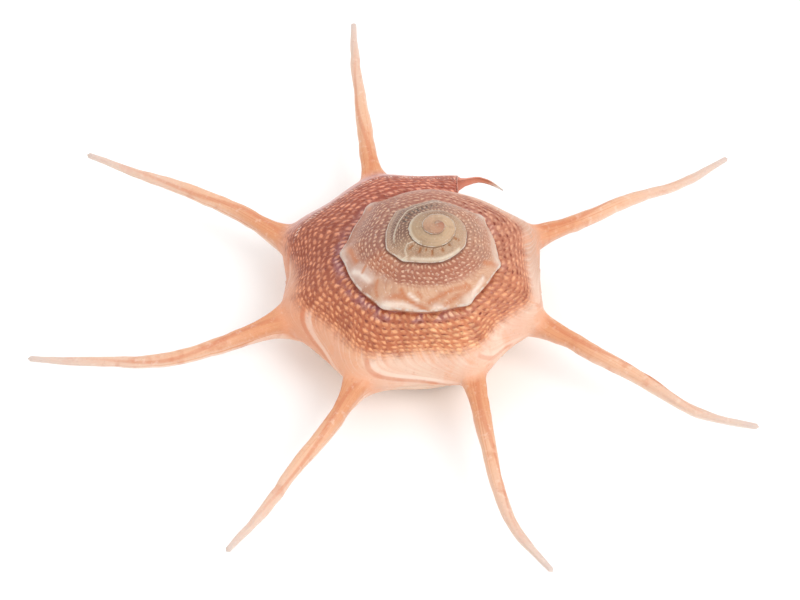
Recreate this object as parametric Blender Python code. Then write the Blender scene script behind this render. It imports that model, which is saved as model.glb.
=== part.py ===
"""Star turban shell: one natural piece, a low coiled shell with seven long spines round its keel.

The coiling axis is +Z and the shell rests on z = 0, on the ring of its base and the callus pad.
A place on the shell is a turn count, 0 at the lip and negative back towards the apex, and a row
across the whorl. The shell coils clockwise as it grows, seen from above, so it is dextral.
Azimuths are measured anticlockwise from +X. Sizes are in millimetres until a vertex is made.
"""

import math

import bmesh
import bpy
from mathutils import Vector

MM = 0.001

# The coil: turn, keel radius in the middle of a side and keel height over the resting plane
KEEL = (
    (-5.20, 0.00, 22.8),
    (-4.75, 1.35, 22.5),
    (-4.30, 1.85, 22.2),
    (-3.75, 2.95, 21.8),
    (-3.25, 3.80, 21.1),
    (-2.75, 4.60, 20.3),
    (-2.50, 4.95, 19.8),
    (-2.25, 7.00, 18.8),
    (-2.00, 8.20, 17.4),
    (-1.75, 9.10, 16.0),
    (-1.50, 10.35, 15.1),
    (-1.25, 12.50, 14.2),
    (-1.00, 14.20, 12.7),
    (-0.90, 15.30, 11.0),
    (-0.80, 15.90, 9.3),
    (-0.65, 16.40, 8.1),
    (-0.50, 18.60, 7.4),
    (-0.40, 20.30, 7.1),
    (-0.28, 21.60, 6.9),
    (-0.15, 22.60, 6.7),
    (0.00, 21.70, 6.6),
)
LIP_AZIMUTH = 74.5
LIP_SLANT = 0.0135  # turns that the lip's edge lags at the keel
LIP_SLANT_FROM = -0.08
COLUMNS = 60  # columns of the mesh in one turn
FINE_FROM = -2.0  # the turn before which every second column is left out
APEX_COLUMNS = 20  # columns next to the apex, on which the whorl is a plain cone
APEX_TURN = KEEL[0][0]
APEX_HEIGHT = KEEL[0][2]
LEAN = (0.45, -0.30)  # how far the apex lies off the axis of the last whorl
LEAN_FROM = 12.0  # the height where the lean starts

# The upper side of a whorl, from suture to keel
CORD_ROWS = 10
BAND_ROWS = 2
CORD_SHARE = 0.68  # share of the whorl's width that carries beaded cords
CORD_RELIEF = 0.016  # of the keel radius
CORDS_FROM = -4.0  # the turn where the cords set in
SHOULDER_SLOPE = 10.0  # degrees below level, just outside the suture
WALL_SLOPE = 68.0  # degrees below level, just above the keel
STEEP_CHORD = 30.0  # a whorl that slopes less than this overall has both slopes in proportion
SHOULDER_PULL = 0.45  # of the chord, the two handles of the whorl's curve
WALL_PULL = 0.38
KEEL_ROW = CORD_ROWS + BAND_ROWS
OLD_LEDGE = (0.022, 0.065)  # how far the suture lies in from and below the keel over it,
RIM = (0.045, 0.050)  # and the under edge of the last whorl's keel, both of the keel radius
RIM_TURNS = 0.12  # over which the one becomes the other

# The keel's corners: spines on the last whorl, broken stubs on the whorls before it
CORNER_RISE = 0.055  # of the keel radius, from a side's middle to its corner
ROUND_UNTIL = -3.2  # the turn before which the whorls have no corners
CORNERED_FROM = -2.0
STUB_TURNS = (-1.030, -1.157, -1.281, -1.439, -1.622, -1.754, -1.904)
OLD_STUB_TURNS = (-2.04, -2.161, -2.337, -2.412, -2.58, -2.72, -2.86, -3.0)
STUB_RISE = 0.04
STUB_HALF_WIDTH = 0.020  # of a turn
WEB_RISE = 1.5  # the keel's rise into each spine
WEB_HALF_WIDTH = 0.034  # of a turn

# Each spine: azimuths at its root and at each quarter of its length, the tip's distance from
# the axis, and the tip's height
SPINES = {
    "back": ((112.5, 108.5, 106.0, 105.0, 103.0), 54.0, 7.0),
    "back_left": ((156.0, 152.8, 152.0, 152.2, 152.9), 57.2, 7.2),
    "left": ((-165.0, -162.0, -161.6, -164.5, -167.3), 58.7, 7.0),
    "front_left": ((-121.7, -120.7, -121.0, -120.9, -121.7), 54.0, 6.6),
    "front_right": ((-70.7, -74.1, -75.5, -75.4, -72.3), 52.1, 6.8),
    "right": ((-26.0, -28.2, -30.0, -31.2, -28.9), 51.9, 7.4),
    "back_right": ((25.8, 27.2, 29.0, 28.6, 29.3), 50.2, 7.8),
}
SPINE_RADII = ((0.0, 1.75), (0.08, 1.42), (0.3, 1.2), (0.5, 1.0), (0.7, 0.75), (0.9, 0.55), (1.0, 0.32))
SPINE_RINGS = (0.03, 0.07, 0.12, 0.19, 0.27, 0.36, 0.46, 0.57, 0.68, 0.79, 0.90, 1.0)
FLARE_LENGTH = 0.15  # of the spine, over which the web at its root draws in
FLARE_POWER = 2.0
WINDOW_COLUMNS = 3

# The half-formed spine that runs on from the lip, close along the keel
LIP_THORN = ((74.0, 22.6, 6.6), (68.0, 22.8, 6.7), (61.5, 22.3, 6.8))  # azimuth, radius, height
LIP_THORN_SCALES = (0.75, 0.5, 0.22)

# The base, from under the keel to the columella
BASE_FLANK = ((0.86, 0.55), (0.76, 0.0))  # handles, of the keel's radius and height
BASE_RING_OUTER = 0.58  # of the keel radius
BASE_RING_INNER = 8.4
BASE_BULGE_ROWS = 4
COLUMELLA_RADIUS = 5.0
COLUMELLA_HEIGHT = 0.55
CALLUS_RADIUS = 3.6  # flat pad on the resting plane
LIP_SWEEP = 42.0  # degrees that the base's growth lines lag at the columella
PARIETAL_TURNS = 0.26  # the base rises over this last part of the turn, in front of the mouth

# The mouth's passage
LIP_THICKNESS = 0.75
PASSAGE_WALL = 1.05
PASSAGE_TURNS = (0.0, -0.03, -0.08, -0.14, -0.20, -0.26, -0.32, -0.38)
PASSAGE_END_SCALE = 0.55

SHELL_COLOUR = (0.72, 0.36, 0.22, 1.0)
SHELL_ROUGHNESS = 0.38


def smooth(knots, x):
    """The smooth curve through knots, rows of x followed by one or more values, at x."""
    x = min(max(x, knots[0][0]), knots[-1][0])
    i = max(k for k in range(len(knots) - 1) if knots[k][0] <= x)
    before, start, end = knots[max(i - 1, 0)], knots[i], knots[i + 1]
    after = knots[min(i + 2, len(knots) - 1)]
    width = end[0] - start[0]
    s = (x - start[0]) / width
    values = []
    for k in range(1, len(start)):
        slope_in = (end[k] - before[k]) / (end[0] - before[0]) * width
        slope_out = (after[k] - start[k]) / (after[0] - start[0]) * width
        values.append(
            (1 + 2 * s) * (1 - s) ** 2 * start[k]
            + s * (1 - s) ** 2 * slope_in
            + s * s * (3 - 2 * s) * end[k]
            + s * s * (s - 1) * slope_out
        )
    return values


def bezier(points, s):
    """A cubic Bezier curve's point at s, from four (radius, height) pairs."""
    weights = ((1 - s) ** 3, 3 * s * (1 - s) ** 2, 3 * s * s * (1 - s), s**3)
    return tuple(sum(w * p[k] for w, p in zip(weights, points)) for k in (0, 1))


def mix(a, b, share):
    return tuple(x + (y - x) * share for x, y in zip(a, b))


def ease(x):
    x = min(max(x, 0.0), 1.0)
    return x * x * (3 - 2 * x)


def azimuth_of(turn):
    return LIP_AZIMUTH - 360.0 * turn


def turn_of(azimuth):
    """The turn of the last whorl at an azimuth."""
    return -((azimuth - LIP_AZIMUTH) % 360.0) / 360.0


def place(azimuth, radius, height):
    """A point in the shell's frame, in metres, from an azimuth in degrees and millimetres."""
    angle = math.radians(azimuth)
    lean = max(height - LEAN_FROM, 0.0) / (APEX_HEIGHT - LEAN_FROM)
    x = radius * math.cos(angle) + LEAN[0] * lean
    y = radius * math.sin(angle) + LEAN[1] * lean
    return Vector((x, y, height)) * MM


SPINE_TURNS = sorted(turn_of(azimuths[0]) for azimuths, _, _ in SPINES.values())
CORNER_TURNS = sorted([*SPINE_TURNS, 0.0, *STUB_TURNS, *OLD_STUB_TURNS])


def side_rise(turn):
    """1 at a corner of the keel, 0 in the middle of a side."""
    if turn <= CORNER_TURNS[0]:
        return 0.0
    i = max(k for k in range(len(CORNER_TURNS) - 1) if CORNER_TURNS[k] <= turn)
    share = (turn - CORNER_TURNS[i]) / (CORNER_TURNS[i + 1] - CORNER_TURNS[i])
    return 1.0 - math.sin(math.pi * share)


def bump(turn, centres, half_width):
    """1 at the nearest of the centres, falling to 0 away from it."""
    nearest = min(abs(turn - centre) for centre in centres)
    return math.exp(-((nearest / half_width) ** 2))


def keel(turn, webbed=True):
    """(radius, height) of the keel, with or without the webs at the spines' roots."""
    if turn <= APEX_TURN:
        return 0.0, APEX_HEIGHT
    radius, height = smooth(KEEL, min(turn, 0.0))
    cornered = ease((turn - ROUND_UNTIL) / (CORNERED_FROM - ROUND_UNTIL))
    stub = bump(turn, (*STUB_TURNS, *OLD_STUB_TURNS), STUB_HALF_WIDTH)
    radius *= 1.0 + cornered * (CORNER_RISE * side_rise(turn) + STUB_RISE * stub)
    if webbed:
        radius += WEB_RISE * bump(turn, SPINE_TURNS, WEB_HALF_WIDTH)
    return radius, height


def ledge(turn, webbed=True):
    """Just under the keel, where the next whorl's suture runs."""
    radius, height = keel(turn, webbed)
    inward, down = mix(OLD_LEDGE, RIM, ease((turn + 1.0) / RIM_TURNS))
    return radius * (1 - inward), height - radius * down


def lag_at_keel(turn):
    """How many turns a column lags at the keel, as the lip's edge does."""
    return LIP_SLANT * ease(1.0 - turn / LIP_SLANT_FROM)


def upper_point(turn, share, webbed=True):
    """A point on the whorl's upper side, from the suture at 0 to the keel at 1."""
    inner, outer = ledge(turn - 1.0), keel(turn - lag_at_keel(turn), webbed)
    chord = math.dist(inner, outer)
    slope = math.atan2(inner[1] - outer[1], outer[0] - inner[0])
    steep = min(slope / math.radians(STEEP_CHORD), 1.0)
    shoulder, wall = math.radians(SHOULDER_SLOPE * steep), math.radians(WALL_SLOPE * steep)
    handles = (
        inner,
        (
            inner[0] + SHOULDER_PULL * chord * math.cos(shoulder),
            inner[1] - SHOULDER_PULL * chord * math.sin(shoulder),
        ),
        (
            outer[0] - WALL_PULL * chord * math.cos(wall),
            outer[1] + WALL_PULL * chord * math.sin(wall),
        ),
        outer,
    )
    return bezier(handles, share)


def upper_rows(turn, webbed=True):
    """The upper side's rows, cords and grooves in turn, then the smooth band."""
    relief = CORD_RELIEF * keel(turn)[0] * ease(turn - CORDS_FROM)
    rows = []
    for k in range(CORD_ROWS):
        radius, height = upper_point(turn, CORD_SHARE * k / CORD_ROWS, webbed)
        rows.append((radius, height + relief * (k % 2)))
    for k in range(BAND_ROWS):
        rows.append(upper_point(turn, CORD_SHARE + (1 - CORD_SHARE) * k / BAND_ROWS, webbed))
    return [*rows, keel(turn - lag_at_keel(turn), webbed)]


def parietal_rows(start):
    """Down the older whorl's underside and the columella, from a suture point, inside the mouth."""
    foot = (COLUMELLA_RADIUS, COLUMELLA_HEIGHT)
    handles = (
        start,
        (0.88 * start[0], start[1] - 4.2),
        (foot[0] + 0.2, start[1] - 3.4),
        foot,
    )
    steps = BASE_BULGE_ROWS + 2
    return [bezier(handles, k / steps) for k in range(steps + 1)]


def base_rows(turn, webbed=True):
    """The base's rows, from the ledge under the keel to the foot of the columella."""
    start, (radius, height) = ledge(turn - lag_at_keel(turn), webbed), smooth(KEEL, turn)
    ring = (BASE_RING_OUTER * radius, 0.0)
    handles = (start, *((radius * out, height * up) for out, up in BASE_FLANK), ring)
    full = [bezier(handles, k / BASE_BULGE_ROWS) for k in range(BASE_BULGE_ROWS + 1)]
    full += [(BASE_RING_INNER, 0.0), (COLUMELLA_RADIUS, COLUMELLA_HEIGHT)]
    open_share = ease((turn + 1.0) / PARIETAL_TURNS)
    return [mix(a, b, open_share) for a, b in zip(parietal_rows(start), full)]


def upper_azimuth(turn, share):
    """Azimuth of a column on the upper side, from the suture at 0 to the keel at 1."""
    return azimuth_of(turn - lag_at_keel(turn) * share)


def base_azimuth(turn, share):
    """Azimuth of a column on the base, from the keel at 0 to the columella at 1."""
    return azimuth_of(turn - lag_at_keel(turn) * (1 - share)) + LIP_SWEEP * share**1.3


def column_points(turn, webbed=True):
    """(azimuth, radius, height) down one column of the upper side, and of the base."""
    upper, base = upper_rows(turn, webbed), base_rows(turn, webbed)
    return (
        [(upper_azimuth(turn, k / KEEL_ROW), *point) for k, point in enumerate(upper)],
        [(base_azimuth(turn, k / (len(base) - 1)), *point) for k, point in enumerate(base)],
    )


def add_points(mesh, points):
    return [mesh.verts.new(place(*point)) for point in points]


def add_coil(mesh):
    """The outer surface. Returns its columns, each a list of vertices from suture to columella."""
    apex = mesh.verts.new(place(0.0, 0.0, APEX_HEIGHT))
    first, fine = round(APEX_TURN * COLUMNS), round(FINE_FROM * COLUMNS)
    columns = {first: [apex] * (KEEL_ROW + 1)}
    for i in [*range(first + 2, fine, 2), *range(fine, 1)]:
        columns[i] = add_points(mesh, column_points(i / COLUMNS)[0])
        if i <= first + APEX_COLUMNS:
            columns[i][:KEEL_ROW] = [apex] * KEEL_ROW
        elif i <= first + COLUMNS:
            columns[i][0] = apex
    # The suture of the whorl a turn later is the last row of the older ones
    for i in columns:
        if i <= -COLUMNS:
            columns[i].append(columns[i + COLUMNS][0])
    for i in range(-COLUMNS, 1):
        columns[i] += add_points(mesh, column_points(i / COLUMNS)[1])[i == -COLUMNS :]
    # The foot of the columella is one closed ring, so the first and last columns share it
    columns[0][-1] = columns[-COLUMNS][-1]
    return columns


def face(mesh, *corners):
    """A face without its repeated corners, or none if fewer than three are left."""
    kept = [v for k, v in enumerate(corners) if v is not corners[k - 1]]
    if len(set(kept)) > 2:
        mesh.faces.new(kept)


def skin(mesh, columns, windows):
    """Faces between neighbouring columns, leaving out those inside a spine's window."""
    order = sorted(columns)
    for i, following in zip(order, order[1:]):
        here, after = columns[i], columns[following]
        for j in range(min(len(here), len(after)) - 1):
            if (i, j) in windows:
                continue
            # Where a coarse whorl meets a finer one, the face takes in the vertex between
            between = columns.get(i + COLUMNS + 1) if j == KEEL_ROW and following == i + 2 else None
            middle = [between[0]] if between else []
            face(mesh, here[j], after[j], after[j + 1], *middle, here[j + 1])


def window_at(turn):
    """The cells that a spine grows from: across the keel, and one row above and below it."""
    left = round(turn * COLUMNS - WINDOW_COLUMNS / 2)
    cells = [
        (i, j)
        for i in range(left, left + WINDOW_COLUMNS)
        for j in range(KEEL_ROW - 1, KEEL_ROW + 2)
    ]
    return left, KEEL_ROW - 1, cells


def window_loop(columns, left, top):
    """The window's outline, once round."""
    right, bottom = left + WINDOW_COLUMNS, top + 3
    return (
        [columns[i][top] for i in range(left, right)]
        + [columns[right][j] for j in range(top, bottom)]
        + [columns[i][bottom] for i in range(right, left, -1)]
        + [columns[left][j] for j in range(bottom, top, -1)]
    )


def spine_path(azimuths, reach, tip_height, root):
    """A function from 0 at the root to 1 at the tip to a point on the spine's centre line."""
    root_radius = math.hypot(root.x, root.y) / MM
    knots = [(k / 4, azimuth) for k, azimuth in enumerate(azimuths)]

    def at(share):
        radius = root_radius + (reach - root_radius) * share
        height = root.z / MM + (tip_height - root.z / MM) * ease(1.6 * share)
        return place(smooth(knots, share)[0], radius, height)

    return at


def close_end(mesh, ring, tip):
    """A cone of triangles from a ring to a point."""
    point = mesh.verts.new(tip)
    for k, vertex in enumerate(ring):
        mesh.faces.new((vertex, ring[(k + 1) % len(ring)], point))


def bridge(mesh, ring, after):
    for k in range(len(ring)):
        face(mesh, ring[k - 1], ring[k], after[k], after[k - 1])


def add_spine(mesh, loop, azimuths, reach, tip_height):
    """Grows a spine out of a window's outline, drawn in over its flare to a round section."""
    root = sum((v.co for v in loop), Vector()) / len(loop)
    path = spine_path(azimuths, reach, tip_height, root)
    outward = (path(0.1) - path(0.0)).normalized()
    side = outward.cross(Vector((0, 0, 1))).normalized()
    up = side.cross(outward)
    offsets = [v.co - root for v in loop]
    half_width = max(abs(offset.dot(side)) for offset in offsets)
    half_height = max(abs(offset.dot(up)) for offset in offsets)
    angles = [math.atan2(o.dot(up) / half_height, o.dot(side) / half_width) for o in offsets]
    ring = loop
    for share in SPINE_RINGS:
        centre = path(share)
        ahead = (path(min(share + 0.02, 1.0)) - path(share - 0.02)).normalized()
        side = ahead.cross(Vector((0, 0, 1))).normalized()
        up = side.cross(ahead)
        radius = smooth(SPINE_RADII, share)[0] * MM
        drawn_in = 1.0 - max(1.0 - share / FLARE_LENGTH, 0.0) ** FLARE_POWER
        after = []
        for angle, offset in zip(angles, offsets):
            round_spot = (side * math.cos(angle) + up * math.sin(angle)) * radius
            after.append(mesh.verts.new(centre + offset.lerp(round_spot, drawn_in)))
        bridge(mesh, ring, after)
        ring = after
    close_end(mesh, ring, path(1.0) + ahead * smooth(SPINE_RADII, 1.0)[0] * MM)


def middle_of(rows):
    return tuple(sum(point[k] for point in rows) / len(rows) for k in (0, 1))


def towards(point, middle, distance):
    """point, moved by distance towards middle."""
    share = min(distance / math.dist(point, middle), 0.9)
    return mix(point, middle, share)


def passage_loop(turn, depth_share):
    """(azimuth, radius, height) once round the passage: out along the arch, back inside."""
    upper, base = column_points(turn, webbed=False)
    arch, inside = upper + base, parietal_rows(ledge(turn - 1.0))
    middle = middle_of([point[1:] for point in arch] + inside)
    wall = LIP_THICKNESS + (PASSAGE_WALL - LIP_THICKNESS) * ease(4 * depth_share)
    shrink = ease(1.5 * depth_share - 0.5) * (1 - PASSAGE_END_SCALE)
    loop = [(azimuth, towards(point, middle, wall)) for azimuth, *point in arch]
    for k in range(len(inside) - 2, 0, -1):
        azimuth = azimuth_of(turn) + LIP_SWEEP * (k / (len(inside) - 1)) ** 1.3
        loop.append((azimuth, towards(inside[k], middle, wall * ease(3 * depth_share))))
    return [(azimuth, *mix(point, middle, shrink)) for azimuth, point in loop]


def add_passage(mesh, columns):
    """The mouth: the lip's edge, the passage that winds back from it and its closed end.
    Returns the lip's outer and inner outlines."""
    arch = columns[0]
    inside = columns[-COLUMNS][KEEL_ROW + 1 :]
    outline = [*arch, *inside[-2:0:-1]]
    rings = [outline]
    for step, turn in enumerate(PASSAGE_TURNS):
        loop = passage_loop(turn, step / (len(PASSAGE_TURNS) - 1))
        # The older whorl has no lip of its own, so its side of the mouth keeps its vertices
        count = len(loop) if step else len(arch)
        rings.append(add_points(mesh, loop[:count]) + outline[count:])
    for k in range(len(outline)):
        if k not in (KEEL_ROW, KEEL_ROW + 1):
            face(mesh, outline[k - 1], outline[k], rings[1][k], rings[1][k - 1])
    for ring, after in zip(rings[1:], rings[2:]):
        bridge(mesh, ring, after)
    close_end(mesh, rings[-1], sum((v.co for v in rings[-1]), Vector()) / len(outline))
    return outline, rings[1]


def add_lip_thorn(mesh, outer, inner):
    """The thin thorn that runs on from the lip's edge at the keel."""
    rows = range(KEEL_ROW - 1, KEEL_ROW + 2)
    loop = [outer[k] for k in rows] + [inner[k] for k in reversed(rows)]
    root = sum((v.co for v in loop), Vector()) / len(loop)
    offsets = [v.co - root for v in loop]
    ring = loop
    for spot, scale in zip(LIP_THORN, LIP_THORN_SCALES):
        centre = place(*spot)
        after = [mesh.verts.new(centre + offset * scale) for offset in offsets]
        bridge(mesh, ring, after)
        ring = after
    mesh.faces.new(ring)


def add_callus(mesh, columns):
    """The pad that closes the base inside the columella's foot, flat on the resting plane."""
    turns = [i / COLUMNS for i in range(-COLUMNS, 0)]
    foot = [columns[i][-1] for i in range(-COLUMNS, 0)]
    pad = add_points(mesh, [(base_azimuth(turn, 1.0), CALLUS_RADIUS, 0.0) for turn in turns])
    bridge(mesh, foot, pad)
    mesh.faces.new(pad)


def shell_material():
    material = bpy.data.materials.new("shell")
    material.use_nodes = True
    finish = material.node_tree.nodes["Principled BSDF"]
    finish.inputs["Base Color"].default_value = SHELL_COLOUR
    finish.inputs["Roughness"].default_value = SHELL_ROUGHNESS
    finish.inputs["Metallic"].default_value = 0.0
    return material


def build_shell():
    mesh = bmesh.new()
    columns = add_coil(mesh)
    windows = {name: window_at(turn_of(spine[0][0])) for name, spine in SPINES.items()}
    taken = {cell for _, _, cells in windows.values() for cell in cells}
    skin(mesh, columns, taken)
    for name, (azimuths, reach, tip_height) in SPINES.items():
        left, top, _ = windows[name]
        add_spine(mesh, window_loop(columns, left, top), azimuths, reach, tip_height)
    add_lip_thorn(mesh, *add_passage(mesh, columns))
    add_callus(mesh, columns)
    loose = [v for v in mesh.verts if not v.link_faces]  # doubles of the shared vertices
    bmesh.ops.delete(mesh, geom=loose, context="VERTS")
    bmesh.ops.recalc_face_normals(mesh, faces=mesh.faces)
    if mesh.calc_volume(signed=True) < 0:
        bmesh.ops.reverse_faces(mesh, faces=mesh.faces)
    data = bpy.data.meshes.new("shell")
    mesh.to_mesh(data)
    mesh.free()
    data.shade_smooth()
    data.set_sharp_from_angle(angle=math.radians(50))
    data.materials.append(shell_material())
    shell = bpy.data.objects.new("shell", data)
    bpy.context.scene.collection.objects.link(shell)
    return shell


for old in list(bpy.data.objects):
    bpy.data.objects.remove(old)
build_shell()
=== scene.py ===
import math

import bpy
import numpy as np
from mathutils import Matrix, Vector


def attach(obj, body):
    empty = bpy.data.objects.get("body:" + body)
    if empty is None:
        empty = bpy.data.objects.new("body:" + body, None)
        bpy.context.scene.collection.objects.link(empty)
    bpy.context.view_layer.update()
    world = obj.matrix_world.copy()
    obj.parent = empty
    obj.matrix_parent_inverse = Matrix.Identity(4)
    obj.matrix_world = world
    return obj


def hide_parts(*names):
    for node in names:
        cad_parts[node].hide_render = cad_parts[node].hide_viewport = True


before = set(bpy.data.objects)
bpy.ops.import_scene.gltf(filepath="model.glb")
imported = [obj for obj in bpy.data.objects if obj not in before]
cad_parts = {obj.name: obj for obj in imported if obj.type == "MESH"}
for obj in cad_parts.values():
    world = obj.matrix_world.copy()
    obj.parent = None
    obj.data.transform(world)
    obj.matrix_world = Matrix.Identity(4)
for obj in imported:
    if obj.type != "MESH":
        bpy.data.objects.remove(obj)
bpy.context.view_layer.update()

mm = 0.001

# A place on the shell is a turn count, 0 at the lip and negative back to the apex, and an across
# share, 0 at the suture and 1 at the keel. Sizes are in millimetres and angles in degrees.
coil = {
    "keel": (  # turn, radius in the middle of a side, height over the floor
        (-5.20, 0.00, 22.8),
        (-4.75, 1.35, 22.5),
        (-4.30, 1.85, 22.2),
        (-3.75, 2.95, 21.8),
        (-3.25, 3.80, 21.1),
        (-2.75, 4.60, 20.3),
        (-2.50, 4.95, 19.8),
        (-2.35, 6.55, 19.1),
        (-2.25, 7.00, 18.8),
        (-2.00, 8.20, 17.4),
        (-1.75, 9.10, 16.0),
        (-1.50, 10.35, 15.1),
        (-1.36, 11.95, 14.7),
        (-1.25, 12.50, 14.2),
        (-1.00, 14.20, 12.7),
        (-0.90, 15.30, 11.0),
        (-0.80, 15.90, 9.3),
        (-0.65, 16.40, 8.1),
        (-0.50, 18.60, 7.4),
        (-0.40, 20.30, 7.1),
        (-0.28, 21.60, 6.9),
        (-0.17, 22.95, 6.7),
        (-0.10, 21.30, 6.6),
        (-0.05, 21.95, 6.6),
        (0.00, 21.60, 6.6),
    ),
    "lipAzimuth": 74.5,
    "lipSlant": 0.0135,  # turns that the lip's edge lags at the keel
    "lipSlantFrom": -0.08,
    "lipHollow": 0.005,  # and turns that it lags halfway to the keel
    "lean": (0.45, -0.30),  # how far the apex lies off the axis of the last whorl
    "leanFrom": 12.0,
    "shoulderSlope": 10.0,
    "wallSlope": 68.0,
    "oldWallSlope": 54.0,
    "oldRound": 0.030,  # how much fuller the sides of the older whorls are
    "steepChord": 30.0,  # a whorl flatter than this has both slopes in proportion
    "shoulderPull": 0.45,
    "wallPull": 0.38,
    "oldLedge": (0.022, 0.065),  # how far the suture lies in from and below the keel over it
    "rim": (0.045, 0.050),
    "rimTurns": 0.12,
    "cornerRise": 0.055,
    "sharpCorner": 0.4,  # share of the corners' rise that comes to a point
    "roundUntil": -3.2,
    "corneredFrom": -2.0,
    "stubs": (  # turns of the broken spines
        -1.157, -1.281, -1.439, -1.622, -1.754, -1.904,
    ),
    "oldStubs": (-2.04, -2.161, -2.337, -2.412, -2.58, -2.72, -2.86, -3.0),
    "stubRise": 0.04,
    "stubWidth": 0.020,
    "webRise": 1.5,
    "webWidth": 0.034,
}
# Columns of the mesh in one turn of the last two whorls; each whorl before has half as many
grid = {"columns": 720, "beadedRows": 38, "bandRows": 14, "beadedShare": 0.60}
spines = {  # azimuths at the root and each quarter, the tip's distance from the axis, its height
    "back": ((112.5, 108.9, 106.1, 104.4, 102.6), 54.7, 7.0),
    "backLeft": ((156.0, 152.5, 152.0, 152.9, 153.1), 58.1, 7.2),
    "left": ((-165.0, -161.9, -161.6, -164.7, -167.7), 59.9, 7.0),
    "frontLeft": ((-121.7, -120.4, -121.3, -121.1, -121.8), 54.8, 6.6),
    "frontRight": ((-70.7, -73.7, -75.5, -75.2, -71.9), 52.8, 6.8),
    "right": ((-26.0, -28.0, -29.3, -31.1, -28.7), 53.0, 7.4),
    "backRight": ((25.8, 27.5, 29.4, 28.2, 29.3), 51.1, 7.8),
}
spineForm = {  # radii: share of the length, and radius
    "radii": ((0.0, 1.8), (0.1, 1.5), (0.3, 1.24), (0.5, 1.02), (0.7, 0.79), (0.9, 0.58), (1.0, 0.43)),
    "windowColumns": 24,
    "rowsAbove": 5,  # of the band, over the keel, that the root takes in
    "rowsBelow": 3,  # of the base, under the rim
    "flareRings": 14,
    "shaftRings": 42,
    "flareLength": 0.15,
    "flarePower": 2.0,
    "easedWidth": 0.026,  # turns to each side of a root where the mesh is evened out
    "easedPasses": 60,
}
base = {
    "flank": ((0.86, 0.55), (0.76, 0.0)),  # handles, of the keel's radius and height
    "ringOuter": 0.58,  # of the keel's radius, where the base meets the floor
    "ringInner": 8.4,
    "columella": (5.0, 0.55),  # radius and height of its foot
    "callus": ((4.4, 0.16), (3.6, 0.0), (2.4, 0.0), (1.2, 0.05)),  # radius and height
    "sweep": 42.0,  # degrees that the growth lines lag at the columella
    "sweepPower": 1.3,
    "parietalTurns": 0.26,  # in front of the mouth, over which the base rises
    "parietal": ((0.88, 4.2), (0.2, 3.4)),  # handles there, at the suture and at the foot
    "bulgeRows": 13,
    "flatRows": 4,
}
mouth = {
    "lip": 0.75,  # thickness of the edge
    "wall": 1.05,  # and farther in
    "crest": 0.22,  # how far the rounded edge stands before the two faces
    "turns": 0.38,  # that the passage goes in
    "rings": 22,
    "ringPower": 1.4,  # above 1 the rings stand closer behind the lip
    "endScale": 0.55,
    "lining": (0.5, 0.6),  # of the edge and of the face behind it, where 1 is pearly
    # Share of the thorn's length, azimuth, radius and height, and then share and size
    "thorn": ((0.0, 74.0, 23.2, 6.6), (0.5, 68.0, 23.2, 6.7), (1.0, 61.2, 22.5, 6.8)),
    "thornScale": ((0.0, 1.0), (0.03, 0.62), (0.08, 0.42), (0.2, 0.30), (0.6, 0.21), (1.0, 0.07)),
    "thornRows": 6,
    "thornRings": 12,
    "thornPower": 1.5,
    "thornLining": 0.4,
}


def ease(x):
    x = np.clip(x, 0.0, 1.0)
    return x * x * (3 - 2 * x)


def through(knots, x):  # the smooth curve through rows of x and values
    knots = np.asarray(knots, float)
    x = np.clip(np.asarray(x, float), knots[0, 0], knots[-1, 0])
    i = np.clip(np.searchsorted(knots[:, 0], x, side="right") - 1, 0, len(knots) - 2)
    before, start, end = knots[np.maximum(i - 1, 0)], knots[i], knots[i + 1]
    after = knots[np.minimum(i + 2, len(knots) - 1)]
    width = end[..., :1] - start[..., :1]
    s = (x[..., None] - start[..., :1]) / width
    slopeIn = (end - before) / (end[..., :1] - before[..., :1]) * width
    slopeOut = (after - start) / (after[..., :1] - start[..., :1]) * width
    value = (1 + 2 * s) * (1 - s) ** 2 * start + s * (1 - s) ** 2 * slopeIn
    value = value + s * s * (3 - 2 * s) * end + s * s * (s - 1) * slopeOut
    return value[..., 1:]


def bump(x, centres, halfWidth):  # 1 at the nearest centre, falling to 0 away from it
    nearest = np.min(np.abs(np.asarray(x)[..., None] - np.asarray(centres)), axis=-1)
    return np.exp(-((nearest / halfWidth) ** 2))


def bezier(a, b, c, d, s):
    s = np.asarray(s)[..., None]
    return (1 - s) ** 3 * a + 3 * s * (1 - s) ** 2 * b + 3 * s * s * (1 - s) * c + s**3 * d


def scatter(a, b):  # an even spread of numbers from 0 to 1, the same for the same a and b
    return np.mod(np.sin(a * 12.9898 + b * 78.233) * 43758.5453, 1.0)


def wave(x, seed):  # soft noise along a line, from -1 to 1
    cell = np.floor(x)
    share = ease(x - cell)
    return 2 * (scatter(cell, seed) * (1 - share) + scatter(cell + 1, seed) * share) - 1


def azimuthOf(turn):
    return coil["lipAzimuth"] - 360.0 * turn


def place(azimuth, radius, height):
    angle = np.radians(azimuth)
    apexHeight = coil["keel"][0][2]
    lean = np.maximum(height - coil["leanFrom"], 0.0) / (apexHeight - coil["leanFrom"])
    x = radius * np.cos(angle) + coil["lean"][0] * lean
    y = radius * np.sin(angle) + coil["lean"][1] * lean
    return np.stack(np.broadcast_arrays(x, y, height), -1)


spineTurns = {name: -((spine[0][0] - coil["lipAzimuth"]) % 360.0) / 360.0 for name, spine in spines.items()}
rootTurns = sorted(spineTurns.values())
cornerTurns = np.array(sorted([*rootTurns, 0.0, *coil["stubs"], *coil["oldStubs"]]))


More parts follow.
